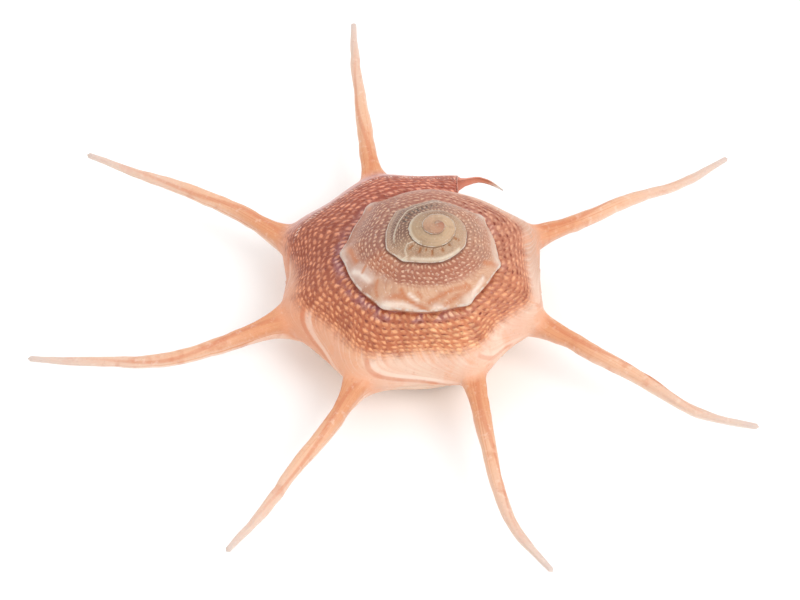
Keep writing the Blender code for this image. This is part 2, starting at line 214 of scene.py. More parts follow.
def sideRise(turn):  # 1 at a corner of the keel, 0 in the middle of a side
    i = np.clip(np.searchsorted(cornerTurns, turn, side="right") - 1, 0, len(cornerTurns) - 2)
    share = np.clip((turn - cornerTurns[i]) / (cornerTurns[i + 1] - cornerTurns[i]), 0, 1)
    sharp, soft = 1 - np.sin(np.pi * share), 0.5 + 0.5 * np.cos(2 * np.pi * share)
    pointed = coil["sharpCorner"]
    return np.where(turn > cornerTurns[0], pointed * sharp + (1 - pointed) * soft, 0.0)


def keelAt(turn, webbed=True):
    turn = np.minimum(turn, 0.0)
    line = through(coil["keel"], turn)
    cornered = ease((turn - coil["roundUntil"]) / (coil["corneredFrom"] - coil["roundUntil"]))
    stub = bump(turn, (*coil["stubs"], *coil["oldStubs"]), coil["stubWidth"])
    older = ease((-0.98 - turn) / 0.1)
    rise = sideRise(turn)
    corner = coil["cornerRise"] * rise + coil["stubRise"] * stub + coil["oldRound"] * older * (1 - 1.4 * rise)
    radius = line[..., 0] * (1 + cornered * corner)
    if webbed:
        radius = radius + coil["webRise"] * bump(turn, rootTurns, coil["webWidth"])
    return np.stack([radius, line[..., 1]], -1)


def ledgeAt(turn, webbed=True):  # just under the keel, where the next whorl's suture runs
    edge = keelAt(turn, webbed)
    share = ease((turn + 1.0) / coil["rimTurns"])
    inward = coil["oldLedge"][0] + (coil["rim"][0] - coil["oldLedge"][0]) * share
    down = coil["oldLedge"][1] + (coil["rim"][1] - coil["oldLedge"][1]) * share
    return np.stack([edge[..., 0] * (1 - inward), edge[..., 1] - edge[..., 0] * down], -1)


def lagAtKeel(turn):  # how many turns a column lags at the keel, as the lip's edge does
    return coil["lipSlant"] * ease(1.0 - turn / coil["lipSlantFrom"])


def lagAt(turn, across):
    hollow = coil["lipHollow"] * ease(1.0 - turn / coil["lipSlantFrom"])
    return lagAtKeel(turn) * across + hollow * np.sin(np.pi * across)


def slanted(point, length, slope):
    step = np.stack([np.cos(slope), -np.sin(slope)], -1)
    return point + length[..., None] * step


def upperProfile(turn, across, webbed=True):  # (radius, height) from suture to keel
    inner, outer = ledgeAt(turn - 1.0), keelAt(turn - lagAtKeel(turn), webbed)
    reach = outer - inner
    chord = np.hypot(reach[..., 0], reach[..., 1])
    steep = np.minimum(np.degrees(np.arctan2(-reach[..., 1], reach[..., 0])) / coil["steepChord"], 1.0)
    wallSlope = coil["oldWallSlope"] + (coil["wallSlope"] - coil["oldWallSlope"]) * ease((turn + 1.3) / 0.35)
    shoulder, wall = np.radians(coil["shoulderSlope"] * steep), np.radians(wallSlope * steep)
    nearSuture = slanted(inner, coil["shoulderPull"] * chord, shoulder)
    nearKeel = slanted(outer, -coil["wallPull"] * chord, wall)
    return bezier(inner, nearSuture, nearKeel, outer, across)


def parietalProfile(start, rows):  # down the older whorl's underside and the columella
    foot = np.array(base["columella"]) + 0 * start
    (pull, down), (gap, lower) = base["parietal"]
    first = np.stack([pull * start[..., 0], start[..., 1] - down], -1)
    second = np.stack([foot[..., 0] + gap, start[..., 1] - lower], -1)
    return bezier(start, first, second, foot, rows)


def baseProfile(turn, webbed=True):  # from the rim to the foot of the columella
    turn = np.asarray(turn)[..., None]
    start, plain = ledgeAt(turn - lagAtKeel(turn), webbed), through(coil["keel"], np.minimum(turn, 0.0))
    radius, height = plain[..., 0], plain[..., 1]
    outer, inner = [np.stack([radius * out, height * up], -1) for out, up in base["flank"]]
    ring = np.stack([base["ringOuter"] * radius, 0 * radius], -1)
    bulge = bezier(start, outer, inner, ring, np.linspace(0, 1, base["bulgeRows"]))
    flatShare = np.linspace(0, 1, base["flatRows"] + 1)[1:, None]
    flat = ring + (np.array([base["ringInner"], 0.0]) - ring) * flatShare
    last = flat[..., -1:, :]
    hollow = last + (np.array(base["columella"]) - last) * ease(np.array([1, 2, 3]) / 3)[:, None]
    full = np.concatenate([bulge, flat, hollow], -2)
    rows = np.linspace(0, 1, full.shape[-2])
    openShare = ease((turn + 1.0) / base["parietalTurns"])[..., None]
    return parietalProfile(start, rows) * (1 - openShare) + full * openShare


beaded, band = grid["beadedRows"], grid["bandRows"]
keelRow = beaded + band
acrossRows = np.concatenate([
    np.linspace(0, grid["beadedShare"], beaded, endpoint=False),
    np.linspace(grid["beadedShare"], 1, band + 1),
])
perTurn = grid["columns"]


class Skin:  # the mesh as it grows: places, what is known of each, and faces

    def __init__(self):
        self.spots, self.facts, self.faces, self.count = [], [], [], 0

    # run is the share along a spine, lining is 1 inside the mouth and around an angle about a spine
    def add(self, spots, turn, across, run=0.0, lining=0.0, around=0.0):
        spots = np.asarray(spots, float)
        shape = spots.shape[:-1]
        facts = np.stack([np.broadcast_to(v, shape) for v in (turn, across, run, lining, around)], -1)
        self.spots.append(spots.reshape(-1, 3))
        self.facts.append(facts.reshape(-1, 5))
        ids = np.arange(self.count, self.count + len(self.spots[-1])).reshape(shape)
        self.count += ids.size
        return ids

    def face(self, *corners):  # without repeated corners, or none if fewer than three are left
        kept = [int(v) for k, v in enumerate(corners) if v != corners[k - 1]]
        if len(set(kept)) > 2:
            self.faces.append(kept)

    def bridge(self, ring, after):
        for k in range(len(ring)):
            self.face(ring[k - 1], ring[k], after[k], after[k - 1])

    def closeEnd(self, ring, tip):
        for k in range(len(ring)):
            self.face(ring[k], ring[(k + 1) % len(ring)], tip)

    def spotsOf(self, ids):
        places = np.concatenate(self.spots)
        return places[np.asarray(ids)]

    def factsOf(self, ids):
        facts = np.concatenate(self.facts)
        return facts[np.asarray(ids)]


def upperSpots(turn, across, webbed=True):
    profile = upperProfile(turn, across, webbed)
    return place(azimuthOf(turn - lagAt(turn, across)), profile[..., 0], profile[..., 1])


def sweepAt(share):  # degrees that the growth lines of the base lag at a share of the way in
    return base["sweep"] * share ** base["sweepPower"]


def baseSpots(turn, webbed=True):  # turn is one value, or a column of them
    profile = baseProfile(turn, webbed)
    share = np.linspace(0, 1, profile.shape[-2])
    turn = np.asarray(turn)[..., None]
    azimuth = azimuthOf(turn - lagAtKeel(turn) * (1 - share)) + sweepAt(share)
    return place(azimuth, profile[..., 0], profile[..., 1])


def growCoil(skin):  # the outer surface, as columns of vertices from suture to columella
    first = round(coil["keel"][0][0] * perTurn)
    blocks = (  # where each starts, its step between columns and between rows
        (first, -4 * perTurn, 8, 4),
        (-4 * perTurn, -3 * perTurn, 4, 4),
        (-3 * perTurn, -2 * perTurn, 2, 2),
        (-2 * perTurn, -perTurn, 1, 2),
        (-perTurn, 1, 1, 1),
    )
    apex = int(skin.add([place(0.0, 0.0, coil["keel"][0][2])], coil["keel"][0][0], 0.0)[0])
    columns = {}
    for start, end, columnStep, rowStep in blocks:
        order = list(range(start, end, columnStep))
        turn = np.array(order)[:, None] / perTurn
        across = acrossRows[::rowStep]
        ids = skin.add(upperSpots(turn, across[None, :]), turn, across[None, :])
        for i, column in zip(order, ids):
            columns[i] = [None] * (keelRow + 1)
            columns[i][::rowStep] = column.tolist()
            if i == first:
                columns[i] = [apex if v is not None else None for v in columns[i]]
            elif i <= first + perTurn // 3:
                columns[i][:keelRow] = [apex if v is not None else None for v in columns[i][:keelRow]]
            elif i <= first + perTurn:
                columns[i][0] = apex
    # The suture of the whorl a turn later is the last row of the older ones
    for i in columns:
        if i <= -perTurn:
            columns[i].append(columns[i + perTurn][0])
    order = np.arange(-perTurn, 1)
    spots = baseSpots(order / perTurn)
    share = 1 + np.linspace(0, 1, spots.shape[1])
    rims = skin.add(spots[1:, 0], order[1:] / perTurn, 1.0)
    for i, vertex in zip(order[1:], rims.tolist()):
        columns[int(i)].append(vertex)
    even = order[::2]
    rows = skin.add(spots[::2, 1:], even[:, None] / perTurn, share[None, 1:])
    for i, column in zip(even, rows.tolist()):
        columns[int(i)] += column
    columns[0][-1] = columns[-perTurn][-1]
    return columns


def coverCoil(skin, columns, windows):  # faces between neighbouring columns, but not in the windows
    order = sorted(columns)
    for i, following in zip(order, order[1:]):
        here, after = columns[i], columns[following]
        rows = [j for j in range(keelRow + 2) if j < len(here) and here[j] is not None]
        for j, k in zip(rows, rows[1:]):
            if (i, j) in windows:
                continue
            # A finer column or whorl next to this one brings a vertex between two of these
            beside, below = [after[j], after[k]], []
            if k <= keelRow:
                beside = [after[m] for m in range(j, k + 1) if after[m] is not None]
            elif following > i + 1:
                between = columns.get((i + following) // 2 + perTurn)
                below = [between[0]] if between else []
            skin.face(here[j], *beside, *below, here[k])
    for i in range(-perTurn, 0, 2):
        here, middle, after = columns[i], columns[i + 1], columns[i + 2]
        for j in range(keelRow + 1, len(here) - 1):
            if (i, j) not in windows:
                between = [middle[j]] if j == keelRow + 1 else []
                skin.face(here[j], *between, after[j], after[j + 1], here[j + 1])


def windowAt(turn):  # the cells that a spine grows from, and its outline's corners
    left = 2 * round((turn * perTurn - spineForm["windowColumns"] / 2) / 2)
    right, top = left + spineForm["windowColumns"], keelRow - spineForm["rowsAbove"]
    bottom = keelRow + 1 + spineForm["rowsBelow"]
    cells = {(i, j) for i in range(left, right) for j in range(top, keelRow + 1)}
    cells |= {(i, j) for i in range(left, right, 2) for j in range(keelRow + 1, bottom)}
    return left, right, top, bottom, cells


def outlineOf(columns, left, right, top, bottom):
    return (
        [columns[i][top] for i in range(left, right)]
        + [columns[right][j] for j in range(top, bottom)]
        + [columns[i][bottom] for i in range(right, left, -2)]
        + [columns[left][j] for j in range(bottom, top, -1)]
    )


def unit(vector):
    return vector / np.linalg.norm(vector, axis=-1, keepdims=True)


def growSpine(skin, outline, azimuths, reach, tipHeight):
    spots, facts = skin.spotsOf(outline), skin.factsOf(outline)
    root = spots.mean(axis=0)
    rootRadius = math.hypot(root[0], root[1])
    knots = [(k / 4, azimuth) for k, azimuth in enumerate(azimuths)]

    def path(share):
        radius = rootRadius + (reach - rootRadius) * share
        height = root[2] + (tipHeight - root[2]) * ease(1.6 * share)
        return place(through(knots, share)[..., 0], radius, height)

    up = np.array([0.0, 0.0, 1.0])
    outward = unit(path(0.1) - path(0.0))
    side = unit(np.cross(outward, up))
    upward = np.cross(side, outward)
    offsets = spots - root
    wide, high = offsets @ side, offsets @ upward
    angles = np.arctan2(high / np.abs(high).max(), wide / np.abs(wide).max())
    flare = spineForm["flareLength"] * np.linspace(0, 1, spineForm["flareRings"] + 1)[1:]
    shaft = np.linspace(spineForm["flareLength"], 1, spineForm["shaftRings"] + 1)[1:]
    ring, turn, across = np.array(outline), facts[:, 0], facts[:, 1]
    for number, share in enumerate([*flare, *shaft]):
        ahead = unit(path(min(share + 0.02, 1.0)) - path(share - 0.02))
        side = unit(np.cross(ahead, up))
        upward = np.cross(side, ahead)
        radius = through(spineForm["radii"], share)[0]
        drawnIn = 1 - max(1 - share / spineForm["flareLength"], 0) ** spineForm["flarePower"]
        turned = np.cos(angles)[:, None] * side + np.sin(angles)[:, None] * upward
        after = path(share) + offsets * (1 - drawnIn) + turned * radius * drawnIn
        if number == spineForm["flareRings"]:  # from here on the spine has half as many corners
            after, angles, offsets = after[::2], angles[::2], offsets[::2]
            turn, across = turn[::2], across[::2]
            ids = skin.add(after, turn, across, share, 0.0, angles)
            for k in range(len(ids)):
                following = (k + 1) % len(ids)
                skin.face(ring[2 * k], ring[2 * k + 1], ring[2 * following], ids[following], ids[k])
        else:
            ids = skin.add(after, turn, across, share, 0.0, angles)
            skin.bridge(ring, ids)
        ring = ids
    tip = skin.add([path(1.0) + ahead * radius], turn[0], across[0], 1.0)
    skin.closeEnd(ring, tip[0])


def towards(points, middle, distance):
    gap = np.linalg.norm(points - middle, axis=-1)
    share = np.minimum(distance / gap, 0.9)[:, None]
    return points + (middle - points) * share


def passageLoop(turn, depth):  # azimuths and profile once round: out along the arch, back inside
    upper = upperProfile(turn, acrossRows, webbed=False)
    under = baseProfile(turn, webbed=False)
    share = np.linspace(0, 1, len(under))
    inside = parietalProfile(ledgeAt(turn - 1.0), share)
    middle = np.concatenate([upper, under, inside]).mean(axis=0)
    wall = mouth["lip"] + (mouth["wall"] - mouth["lip"]) * ease(4 * depth)
    shrink = ease(1.5 * depth - 0.5) * (1 - mouth["endScale"])
    back = inside[-2:0:-1]
    profile = np.concatenate([
        towards(np.concatenate([upper, under]), middle, wall),
        towards(back, middle, wall * ease(3 * depth)),
    ])
    azimuths = np.concatenate([
        azimuthOf(turn - lagAt(turn, acrossRows)),
        azimuthOf(turn - lagAtKeel(turn) * (1 - share)) + sweepAt(share),
        azimuthOf(turn) + sweepAt(share[-2:0:-1]),
    ])
    return azimuths, profile + (middle - profile) * shrink


def growMouth(skin, columns):  # the lip's rounded edge, the passage behind it and its closed end
    arch = columns[0]
    inside = columns[-perTurn][keelRow + 1:]
    outline = np.array([*arch, *inside[-2:0:-1]])
    outer = skin.spotsOf(outline)
    rings = [outline]
    turns = -mouth["turns"] * np.linspace(0, 1, mouth["rings"]) ** mouth["ringPower"]
    for step, turn in enumerate(turns):
        azimuths, profile = passageLoop(turn, step / (len(turns) - 1))
        spots = place(azimuths, profile[:, 0], profile[:, 1])
        if step == 0:  # the older whorl has no lip of its own, so its side keeps its vertices
            count = len(arch)
            forward = unit(np.cross(np.array([0.0, 0.0, 1.0]), (outer + spots) * (1, 1, 0)))[:count]
            crest = (outer[:count] + spots[:count]) / 2 - forward * mouth["crest"]
            for edge, lining in zip((crest, spots[:count]), mouth["lining"]):
                ids = skin.add(edge, 0.0, 1.0, 0.0, lining)
                rings.append(np.concatenate([ids, outline[count:]]))
        else:
            rings.append(skin.add(spots, turn, 1.0, 0.0, min(mouth["lining"][1] + 0.1 * step, 1.0)))
    thorn = range(keelRow - mouth["thornRows"] + 3, keelRow + 3)
    for k in range(len(outline)):
        if k not in thorn[1:]:
            skin.face(outline[k - 1], outline[k], rings[1][k], rings[1][k - 1])
            skin.face(rings[1][k - 1], rings[1][k], rings[2][k], rings[2][k - 1])
    for ring, after in zip(rings[2:], rings[3:]):
        skin.bridge(ring, after)
    end = skin.add([skin.spotsOf(rings[-1]).mean(axis=0)], turns[-1], 1.0, 0.0, 1.0)
    skin.closeEnd(rings[-1], end[0])
    growThorn(skin, [outline[k] for k in thorn], [rings[1][k] for k in thorn], [rings[2][k] for k in thorn])


def growThorn(skin, outer, crest, inner):  # the half-formed spine that runs on from the lip
    loop = [*outer, crest[-1], *inner[::-1], crest[0]]
    spots = skin.spotsOf(loop)
    root = spots.mean(axis=0)
    offsets = spots - root
    ring = np.array(loop)
    for share in np.linspace(0, 1, mouth["thornRings"] + 1)[1:] ** mouth["thornPower"]:
        azimuth, radius, height = through(mouth["thorn"], share)
        spot = place(azimuth, radius, height)
        centre = root + (spot - root) * min(7 * share, 1.0)
        after = centre + offsets * through(mouth["thornScale"], share)[0]
        ids = skin.add(after, 0.0, 1.0, share, mouth["thornLining"])
        skin.bridge(ring, ids)
        ring = ids
    tip = skin.add([centre], 0.0, 1.0, 1.0, mouth["thornLining"])
    skin.closeEnd(ring, tip[0])


def growCallus(skin, columns):  # the pad that closes the base inside the columella's foot
    turns = np.arange(-perTurn, 0, 2) / perTurn
    azimuths = azimuthOf(turns) + base["sweep"]
    ring = np.array([columns[i][-1] for i in range(-perTurn, 0, 2)])
    for step, (radius, height) in enumerate(base["callus"], 1):
        ids = skin.add(place(azimuths, radius, height), turns, 2.0 + 0.1 * step)
        skin.bridge(ring, ids)
        ring = ids
    middle = skin.add([place(0.0, 0.0, base["callus"][-1][1])], 0.0, 2.4)
    skin.closeEnd(ring, middle[0])


def cornersOf(faces):  # every face as a row of vertices, short ones filled up with their last
    most = max(len(corners) for corners in faces)
    return np.array([corners + [corners[-1]] * (most - len(corners)) for corners in faces])


def normalsOf(spots, rows):
    normals = np.zeros_like(spots)
    middle = spots[rows[:, 0]]
    for k in range(1, rows.shape[1] - 1):
        area = np.cross(spots[rows[:, k]] - middle, spots[rows[:, k + 1]] - middle)
        for corner in (rows[:, 0], rows[:, k], rows[:, k + 1]):
            for axis in range(3):
                normals[:, axis] += np.bincount(corner, area[:, axis], len(spots))
    return normals / np.maximum(np.linalg.norm(normals, axis=1, keepdims=True), 1e-12)


def relax(spots, rows, weight, passes):  # evens out the places whose weight is above 0
    pairs = np.stack([rows.T.ravel(), np.roll(rows, -1, axis=1).T.ravel()], 1)
    pairs = pairs[pairs[:, 0] != pairs[:, 1]]
    near = (weight[pairs[:, 0]] > 0) | (weight[pairs[:, 1]] > 0)
    pairs = pairs[near]
    pairs = np.concatenate([pairs, pairs[:, ::-1]])
    degree = np.maximum(np.bincount(pairs[:, 0], minlength=len(spots)), 1)
    for _ in range(passes):
        for axis in range(3):
            mean = np.bincount(pairs[:, 0], spots[pairs[:, 1], axis], len(spots)) / degree
            spots[:, axis] += weight * (mean - spots[:, axis])
    return spots


# The relief: beads in spiral rows, growth lines and the folds beside the spines
beads = {
    "edge": (  # turn, and how far across the beads reach
        (-3.60, 0.80), (-2.60, 0.72), (-2.10, 0.80), (-1.90, 0.86), (-1.78, 0.80), (-1.68, 0.60),
        (-1.60, 0.50), (-1.42, 0.49), (-1.34, 0.55), (-1.25, 0.76), (-1.10, 0.72), (-1.00, 0.60),
        (-0.93, 0.50), (-0.87, 0.47), (-0.78, 0.58), (-0.60, 0.56), (-0.45, 0.58), (-0.36, 0.62),
        (-0.30, 0.66), (-0.25, 0.84), (-0.10, 0.84), (0.05, 0.80),
    ),
    "rows": (  # turn, and rows over a whole whorl if all were as wide as the first
        (-3.60, 3.2), (-2.00, 5.4), (-1.50, 6.2), (-1.20, 6.4), (-0.90, 7.6), (-0.60, 8.4),
        (0.05, 8.3),
    ),
    "closer": 1.3,  # how much closer the rows come towards the keel
    "pace": (  # turn, and beads in a turn next to the suture
        (-3.60, 44.0), (-2.00, 52.0), (-1.50, 58.0), (-1.00, 64.0), (-0.55, 72.0), (-0.45, 82.0),
        (-0.30, 90.0), (0.05, 90.0),
    ),
    "tall": (  # turn, and height in mm
        (-3.60, 0.02), (-2.60, 0.07), (-2.00, 0.09), (-1.50, 0.12), (-1.00, 0.13), (-0.70, 0.17),
        (0.05, 0.17),
    ),
    "plump": ((-3.60, 0.75), (-2.00, 0.72), (-1.30, 0.72), (-0.90, 1.0), (0.05, 1.0)),
    "lag": 0.05,  # turns that a growth line lags at the keel, among the beads
    "bandLag": 0.106,  # and more of them at the end of the smooth band
}
folds = {  # across, and turns from the spine, of the arc on the older side of each spine; its strength
    "back": (((0.62, -0.020), (0.80, -0.030), (0.92, -0.055), (1.0, -0.08)), 0.4),
    "backLeft": (((0.62, -0.020), (0.80, -0.030), (0.92, -0.055), (1.0, -0.08)), 0.5),
    "left": (((0.56, -0.012), (0.68, -0.020), (0.80, -0.032), (0.90, -0.050), (1.0, -0.085)), 0.8),
    "frontLeft": ((
        (0.60, -0.004), (0.70, -0.009), (0.78, -0.018), (0.85, -0.033), (0.91, -0.056), (1.0, -0.11),
    ), 0.9),
    "frontRight": (((0.64, -0.010), (0.76, -0.022), (0.88, -0.038), (0.96, -0.07)), 0.6),
    "right": (((0.66, -0.006), (0.78, -0.016), (0.90, -0.045), (1.0, -0.07)), 0.4),
    "backRight": (((0.62, -0.010), (0.80, -0.022), (0.92, -0.045), (1.0, -0.07)), 0.3),
}
foldWidth = 0.0026  # turns
# Turn and across of the dotted white row along the back of the last whorl
paleRim = ((-0.28, 0.80), (-0.235, 0.62), (-0.20, 0.56), (-0.15, 0.56), (-0.10, 0.51), (0.0, 0.47))
strokes = {  # lines of (turn, across) on the older whorls, and their width in mm
    "rust": (
        (((-1.458, 0.58), (-1.476, 0.77), (-1.528, 0.96)), 0.34),
        (((-1.531, 0.82), (-1.560, 0.70), (-1.593, 0.62), (-1.632, 0.64)), 0.36),
        (((-1.436, 0.84), (-1.450, 0.75), (-1.470, 0.74)), 0.40),
        (((-1.570, 0.92), (-1.590, 0.84), (-1.614, 0.77), (-1.640, 0.74)), 0.36),
        (((-1.276, 0.84), (-1.292, 0.76), (-1.319, 0.72)), 0.50),
        (((-1.748, 0.95), (-1.738, 0.78), (-1.722, 0.62)), 0.42),
        (((-1.165, 0.92), (-1.172, 0.75)), 0.40),
        (((-1.395, 0.60), (-1.402, 0.76), (-1.416, 0.90)), 0.22),
        (((-1.345, 0.56), (-1.352, 0.72)), 0.24),
        (((-1.500, 0.60), (-1.512, 0.70)), 0.20),
    ),
    "milk": (
        (((-1.440, 0.93), (-1.470, 0.90), (-1.505, 0.93)), 0.42),
        (((-1.378, 0.74), (-1.350, 0.76), (-1.335, 0.88)), 0.50),
        (((-1.545, 0.92), (-1.575, 0.95)), 0.30),
        (((-1.690, 0.84), (-1.662, 0.88), (-1.640, 0.92)), 0.34),
        (((-1.262, 0.97), (-1.281, 0.98), (-1.302, 0.96)), 0.18),
        (((-1.480, 0.66), (-1.505, 0.80)), 0.26),
        (((-2.385, 0.97), (-2.403, 1.0), (-2.418, 0.92)), 0.26),
        ((
            (-2.330, 0.62), (-2.314, 0.60), (-2.247, 0.46), (-2.172, 0.41), (-2.100, 0.45), (-2.020, 0.46),
        ), 0.12),
        (((-2.385, 0.02), (-2.374, 0.26), (-2.392, 0.55), (-2.416, 0.76), (-2.405, 0.97)), 0.12),
        (((-2.440, 0.84), (-2.520, 0.82), (-2.600, 0.84), (-2.680, 0.88)), 0.28),
        (((-3.420, 0.93), (-3.300, 0.94), (-3.200, 0.95), (-3.120, 0.98)), 0.19),
    ),
    "pits": (
        (((-2.400, 0.20), (-2.402, 0.36)), 0.26),
        (((-2.450, 0.16), (-2.455, 0.36)), 0.28),
        (((-2.485, 0.14), (-2.488, 0.22)), 0.16),
        (((-2.524, 0.18), (-2.528, 0.52)), 0.22),
        (((-2.584, 0.16), (-2.590, 0.32)), 0.28),
        (((-2.640, 0.14), (-2.644, 0.22)), 0.16),
        (((-2.708, 0.14), (-2.714, 0.34)), 0.28),
        *((((turn, 0.22), (turn, 0.31)), 0.21) for turn in (-2.215, -2.190, -2.166, -2.143, -2.121)),
        *((((turn, 0.22), (turn, 0.31)), 0.18) for turn in (-2.099, -2.077, -2.056, -2.036, -2.014)),
    ),
}


def awayFrom(line, turn, across):  # millimetres from each place to the line
    here, older = through(coil["keel"], turn), through(coil["keel"], turn - 1.0)
    girth, width = math.tau * here[:, 0], np.hypot(*(here - older).T)
    nearest = np.full_like(turn, np.inf)
    for (start, up), (end, down) in zip(line, line[1:]):
        x, y = (turn - start) * girth, (across - up) * width
        stepX, stepY = (end - start) * girth, (down - up) * width
        share = np.clip((x * stepX + y * stepY) / np.maximum(stepX**2 + stepY**2, 1e-6), 0, 1)
        nearest = np.minimum(nearest, np.hypot(x - share * stepX, y - share * stepY))
    return nearest


def strokeField(name, turn, across):  # 1 on a stroke, falling to 0 beside it
    field = np.zeros_like(turn)
    for line, width in strokes[name]:
        field = np.maximum(field, np.exp(-((awayFrom(line, turn, across) / width) ** 2)))
    return field


def beadsPassed(turn):  # beads passed since the apex, next to the suture
    steps = np.linspace(-5.3, 0.1, 5401)
    passed = np.cumsum(through(beads["pace"], steps)[:, 0]) * (steps[1] - steps[0])
    return np.interp(turn, steps, passed)


def beadCell(maths, line, beat):  # where a place lies in its bead; for numbers and for sockets
    line = line + 0.11 * maths.sine(1.7 * beat) + 0.08 * maths.sine(0.83 * beat + 2.0)
    row = maths.floor(line)
    v = line - row - 0.5
    phase = beat * (1 + 0.7 * maths.rise(row, 3.0, 8.0)) + 0.37 * row + 0.35 * v
    phase = phase + 0.16 * maths.sine(1.3 * beat + 2.0 * row)
    cell = maths.floor(phase)
    u = phase - cell - 0.5
    around, along = maths.sine(math.tau * (u + 0.25)), maths.sine(math.tau * (v + 0.25))
    return row, cell, u, v, (0.5 + 0.5 * around) * (0.5 + 0.5 * along)


class Plain:  # beadCell's steps for plain numbers
    floor, sine = staticmethod(np.floor), staticmethod(np.sin)

    @staticmethod
    def rise(x, low, high):
        return ease((x - low) / (high - low))


def foldField(turn, across):  # how many widths a place lies past the nearest arc, and its strength
    gap, share = np.full_like(turn, 30.0), np.zeros_like(turn)
    for name, (line, strength) in folds.items():
        here, beyond = through(line, across)[:, 0], through(line, across + 0.01)[:, 0]
        width = foldWidth * np.hypot(1, 8.5 * (beyond - here) / 0.01)
        past = np.clip((turn - spineTurns[name] - here) / width, -30, 30)
        top, bottom = line[0][0], line[-1][0]
        nearer = np.abs(past) < np.abs(gap)
        fade = strength * ease((across - top + 0.03) / 0.06) * ease((bottom + 0.02 - across) / 0.05)
        gap, share = np.where(nearer, past, gap), np.where(nearer, fade, share)
    return gap, share


def growthField(turn, across):  # a turn count that stays the same along a growth line
    return turn + beads["lag"] * across + beads["bandLag"] * np.clip((across - 0.55) / 0.45, 0, 1) ** 3


def marksOf(facts):  # all that the relief and the colours need to know of a place
    turn, across, run, lining, around = facts.T
    upper = (across <= 1.0) & (run == 0) & (lining == 0)
    growth = growthField(turn, across)
    gap, fold = foldField(turn, across)
    webs = bump(turn, rootTurns, 0.030) * ease((across - 0.60) / 0.36) * (turn > -1)
    nodes = bump(turn, coil["stubs"], 0.013) * ease((across - 0.70) / 0.25)
    return {
        "turn": turn, "across": across, "run": run, "lining": lining, "around": around,
        "line": through(beads["rows"], turn)[:, 0] * across * (1 + beads["closer"] * across),
        "beat": beadsPassed(turn) + beads["lag"] * across * through(beads["pace"], turn)[:, 0],
        "zone": across / through(beads["edge"], turn)[:, 0],
        "plump": through(beads["plump"], turn)[:, 0],
        "rim": across - through(paleRim, turn)[:, 0], "growth": growth, "gap": gap, "fold": fold * upper,
        "web": np.where(run > 0, 1.0, webs), "node": nodes * upper,
        **{name: strokeField(name, turn, across) * upper for name in strokes},
    }


relief = {  # heights in mm
    "growthLines": 0.012,
    "stubs": 0.22,
    "folds": 0.10,
    "thread": (0.07, 0.05),  # and how much that varies
    "apexCords": 0.012,
    "milk": 0.08,
    "pits": 0.16,
    "baseCords": 0.05,
    "ridges": (0.035, 0.025),
    "waviness": (0.10, 0.06),
}


def reliefOf(marks):
    turn, across, run, zone = marks["turn"], marks["across"], marks["run"], marks["zone"]
    growth, around = marks["growth"], marks["around"]
    outside = (marks["lining"] == 0) & (run == 0)
    upper, onBase = outside & (across <= 1.0), outside & (across > 1.0) & (across < 2.1)
    row, cell, _, v, knob = beadCell(Plain, marks["line"], marks["beat"])
    knob = np.clip((knob - 1 + marks["plump"]) / marks["plump"], 0, 1)
    cord = np.clip(1 - 4 * v * v, 0, 1)
    tall = through(beads["tall"], turn)[:, 0] * (1.25 - 0.09 * np.clip(row, 0, 8)) * ease((1.08 - zone) / 0.2)
    tall = tall * ease((0.72 - across) / 0.12)
    height = upper * tall * (0.3 * cord + 0.7 * knob * (0.75 + 0.25 * np.sin(2.3 * cell + 5.1 * row)))
    inBand = ease((zone - 0.92) / 0.2)
    lines = 0.6 * wave(growth * 420, 3) + 0.4 * wave(growth * 1300, 5)
    height = height + upper * (relief["growthLines"] * inBand * lines + relief["stubs"] * marks["node"])
    height = height + relief["folds"] * marks["fold"] * np.exp(-(marks["gap"] ** 2))
    # A thin raised thread along the older keels, and fine spiral cords near the apex
    thread = ease((across - 0.90) / 0.06) * ease((-1.0 - turn) / 0.1)
    thick, varied = relief["thread"]
    height = height + upper * thread * (thick + varied * wave(turn * 46, 8))
    nearApex = ease((-2.7 - turn) / 0.4)
    height = height + upper * nearApex * relief["apexCords"] * np.cos(2 * np.pi * (4 * across - 0.5))
    height = height + relief["milk"] * marks["milk"] * (turn < -1.95) - relief["pits"] * marks["pits"]
    # On the base, low spiral cords and growth lines
    share = across - 1.0
    cords = np.cos(2 * np.pi * (share * 19 - 0.5)) * ease((share - 0.08) / 0.06) * ease((0.72 - share) / 0.1)
    lines = wave(growth * 500, 4)
    height = height + onBase * (relief["baseCords"] * cords + relief["growthLines"] * lines)
    # Along a spine, fine ridges lengthwise and a gentle waviness
    few, many = relief["ridges"]
    ridges = few * np.cos(3 * around + 4 * run) + many * np.cos(7 * around - 3 * run + 1.3)
    slow, quick = relief["waviness"]
    seed = np.round(turn * 40)
    waves = slow * wave(run * 9 + 3.1 * seed, 21) + quick * wave(run * 23 + 1.7 * seed, 22)
    onSpine = (run > 0) & (marks["lining"] == 0)
    return height + onSpine * ease(run / 0.12) * ease((1.02 - run) / 0.1) * (ridges + waves)


